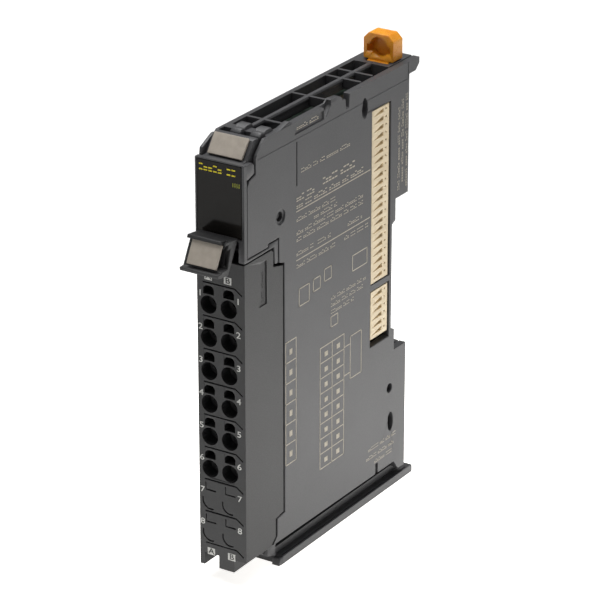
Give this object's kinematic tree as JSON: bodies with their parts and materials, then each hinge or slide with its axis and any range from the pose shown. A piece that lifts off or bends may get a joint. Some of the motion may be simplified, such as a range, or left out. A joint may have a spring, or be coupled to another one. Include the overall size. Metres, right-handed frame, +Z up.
{
  "type": "programmable controller slice i/o module",
  "caption": "Slim slice output module for a programmable controller, with a plug-on push-in terminal block, side bus connectors and a sliding rail hook.",
  "frame": {"origin": "middle of the floor of the rail recess, on the rail's centre line and the module's mid plane; the 35 mm rail's flanges rest 1.4 mm further back", "axes": "+X to the right, towards the side with the open bus sockets; +Y to the back, into the rail; +Z up, towards the orange pull tab"},
  "size_m": [0.0134, 0.0774, 0.1069],
  "materials": {
    "case_plastic": "fine matt moulded texture",
    "block_plastic": "fine matt moulded texture",
    "smoked_window": "polished, smoked",
    "marker_plastic": "plain moulded",
    "hook_plastic": "semi-gloss moulded",
    "socket_plastic": "plain moulded, glass filled",
    "contact_gold": "gold flash over a copper alloy",
    "tinned_copper": "tin plated copper alloy",
    "spring_steel": "bright rolled strip",
    "board_laminate": "solder resist over glass laminate",
    "chip_resin": "moulded epoxy",
    "ferrite": "sintered",
    "can_aluminium": "drawn can",
    "ceramic": "fired",
    "clear_acrylic": "polished",
    "led_resin": "cast"
  },
  "bodies": {
    "case": {"case_left": "case_plastic", "case_right": "case_plastic", "front_bezel": "case_plastic", "display_window": "smoked_window", "unit_marker": "marker_plastic", "light_guide": "clear_acrylic", "status_led": "led_resin", "main_board": "board_laminate", "controller_chip": "chip_resin", "converter_chip": "chip_resin", "isolator_chip_1": "chip_resin", "isolator_chip_2": "chip_resin", "isolator_chip_3": "chip_resin", "output_amplifier_1": "chip_resin", "output_amplifier_2": "chip_resin", "isolation_transformer": "ferrite", "power_inductor": "ferrite", "smoothing_capacitor_1": "can_aluminium", "smoothing_capacitor_2": "can_aluminium", "smoothing_capacitor_3": "can_aluminium", "smoothing_capacitor_4": "can_aluminium", "filter_capacitor_1": "ceramic", "filter_capacitor_2": "ceramic", "filter_capacitor_3": "ceramic", "bus_socket_signal": "socket_plastic", "bus_socket_power": "socket_plastic", "socket_contacts_signal": "contact_gold", "socket_contacts_power": "contact_gold", "bus_plug_signal": "socket_plastic", "bus_plug_power": "socket_plastic", "terminal_header": "chip_resin", "header_pins_a": "tinned_copper", "header_pins_b": "tinned_copper"},
    "rail_hook": {"din_hook": "hook_plastic"},
    "signal_fingers": {"bus_fingers_signal": "contact_gold"},
    "power_fingers": {"bus_fingers_power": "contact_gold"},
    "terminal_block": {"block_housing": "block_plastic", "contact_carrier": "block_plastic", "current_bars_a": "tinned_copper", "current_bars_b": "tinned_copper", "clamp_anchors_a": "spring_steel", "clamp_anchors_b": "spring_steel"},
    "lever": {"lock_lever": "block_plastic", "lever_marker": "marker_plastic"},
    "clamp_a1": {"clamp_arm_a1": "spring_steel"},
    "clamp_a2": {"clamp_arm_a2": "spring_steel"},
    "clamp_a3": {"clamp_arm_a3": "spring_steel"},
    "clamp_a4": {"clamp_arm_a4": "spring_steel"},
    "clamp_a5": {"clamp_arm_a5": "spring_steel"},
    "clamp_a6": {"clamp_arm_a6": "spring_steel"},
    "clamp_b1": {"clamp_arm_b1": "spring_steel"},
    "clamp_b2": {"clamp_arm_b2": "spring_steel"},
    "clamp_b3": {"clamp_arm_b3": "spring_steel"},
    "clamp_b4": {"clamp_arm_b4": "spring_steel"},
    "clamp_b5": {"clamp_arm_b5": "spring_steel"},
    "clamp_b6": {"clamp_arm_b6": "spring_steel"}
  },
  "joints": [
    {"name": "rail_hook_slide", "type": "slide", "parent": "case", "child": "rail_hook", "axis": [0, 0, 1], "range_m": [0, 0.0035]},
    {"name": "signal_fingers_press", "type": "slide", "parent": "case", "child": "signal_fingers", "axis": [1, 0, 0], "range_m": [0, 0.0012], "stiffness_N_per_m": 2000, "springref_m": -0.0003},
    {"name": "power_fingers_press", "type": "slide", "parent": "case", "child": "power_fingers", "axis": [1, 0, 0], "range_m": [0, 0.0012], "stiffness_N_per_m": 600, "springref_m": -0.0003},
    {"name": "terminal_block_swing", "type": "hinge", "parent": "case", "child": "terminal_block", "pos_m": [0, -0.0489, -0.0474], "axis": [1, 0, 0], "range_deg": [0, 20]},
    {"name": "lock_lever_press", "type": "hinge", "parent": "terminal_block", "child": "lever", "pos_m": [0, -0.0522, 0.0262], "axis": [1, 0, 0], "range_deg": [0, 12], "stiffness_Nm_per_rad": 0.3, "springref_deg": -2.86},
    {"name": "clamp_a1_open", "type": "hinge", "parent": "terminal_block", "child": "clamp_a1", "pos_m": [-0.00302, -0.0542, 0.01061], "axis": [-1, 0, 0], "range_deg": [0, 20], "stiffness_Nm_per_rad": 0.03, "springref_deg": -5.73},
    {"name": "clamp_a2_open", "type": "hinge", "parent": "terminal_block", "child": "clamp_a2", "pos_m": [-0.00302, -0.0542, 0.00307], "axis": [-1, 0, 0], "range_deg": [0, 20], "stiffness_Nm_per_rad": 0.03, "springref_deg": -5.73},
    {"name": "clamp_a3_open", "type": "hinge", "parent": "terminal_block", "child": "clamp_a3", "pos_m": [-0.00302, -0.0542, -0.00447], "axis": [-1, 0, 0], "range_deg": [0, 20], "stiffness_Nm_per_rad": 0.03, "springref_deg": -5.73},
    {"name": "clamp_a4_open", "type": "hinge", "parent": "terminal_block", "child": "clamp_a4", "pos_m": [-0.00302, -0.0542, -0.01201], "axis": [-1, 0, 0], "range_deg": [0, 20], "stiffness_Nm_per_rad": 0.03, "springref_deg": -5.73},
    {"name": "clamp_a5_open", "type": "hinge", "parent": "terminal_block", "child": "clamp_a5", "pos_m": [-0.00302, -0.0542, -0.01955], "axis": [-1, 0, 0], "range_deg": [0, 20], "stiffness_Nm_per_rad": 0.03, "springref_deg": -5.73},
    {"name": "clamp_a6_open", "type": "hinge", "parent": "terminal_block", "child": "clamp_a6", "pos_m": [-0.00302, -0.0542, -0.02709], "axis": [-1, 0, 0], "range_deg": [0, 20], "stiffness_Nm_per_rad": 0.03, "springref_deg": -5.73},
    {"name": "clamp_b1_open", "type": "hinge", "parent": "terminal_block", "child": "clamp_b1", "pos_m": [0.00198, -0.0542, 0.01061], "axis": [-1, 0, 0], "range_deg": [0, 20], "stiffness_Nm_per_rad": 0.03, "springref_deg": -5.73},
    {"name": "clamp_b2_open", "type": "hinge", "parent": "terminal_block", "child": "clamp_b2", "pos_m": [0.00198, -0.0542, 0.00307], "axis": [-1, 0, 0], "range_deg": [0, 20], "stiffness_Nm_per_rad": 0.03, "springref_deg": -5.73},
    {"name": "clamp_b3_open", "type": "hinge", "parent": "terminal_block", "child": "clamp_b3", "pos_m": [0.00198, -0.0542, -0.00447], "axis": [-1, 0, 0], "range_deg": [0, 20], "stiffness_Nm_per_rad": 0.03, "springref_deg": -5.73},
    {"name": "clamp_b4_open", "type": "hinge", "parent": "terminal_block", "child": "clamp_b4", "pos_m": [0.00198, -0.0542, -0.01201], "axis": [-1, 0, 0], "range_deg": [0, 20], "stiffness_Nm_per_rad": 0.03, "springref_deg": -5.73},
    {"name": "clamp_b5_open", "type": "hinge", "parent": "terminal_block", "child": "clamp_b5", "pos_m": [0.00198, -0.0542, -0.01955], "axis": [-1, 0, 0], "range_deg": [0, 20], "stiffness_Nm_per_rad": 0.03, "springref_deg": -5.73},
    {"name": "clamp_b6_open", "type": "hinge", "parent": "terminal_block", "child": "clamp_b6", "pos_m": [0.00198, -0.0542, -0.02709], "axis": [-1, 0, 0], "range_deg": [0, 20], "stiffness_Nm_per_rad": 0.03, "springref_deg": -5.73}
  ]
}
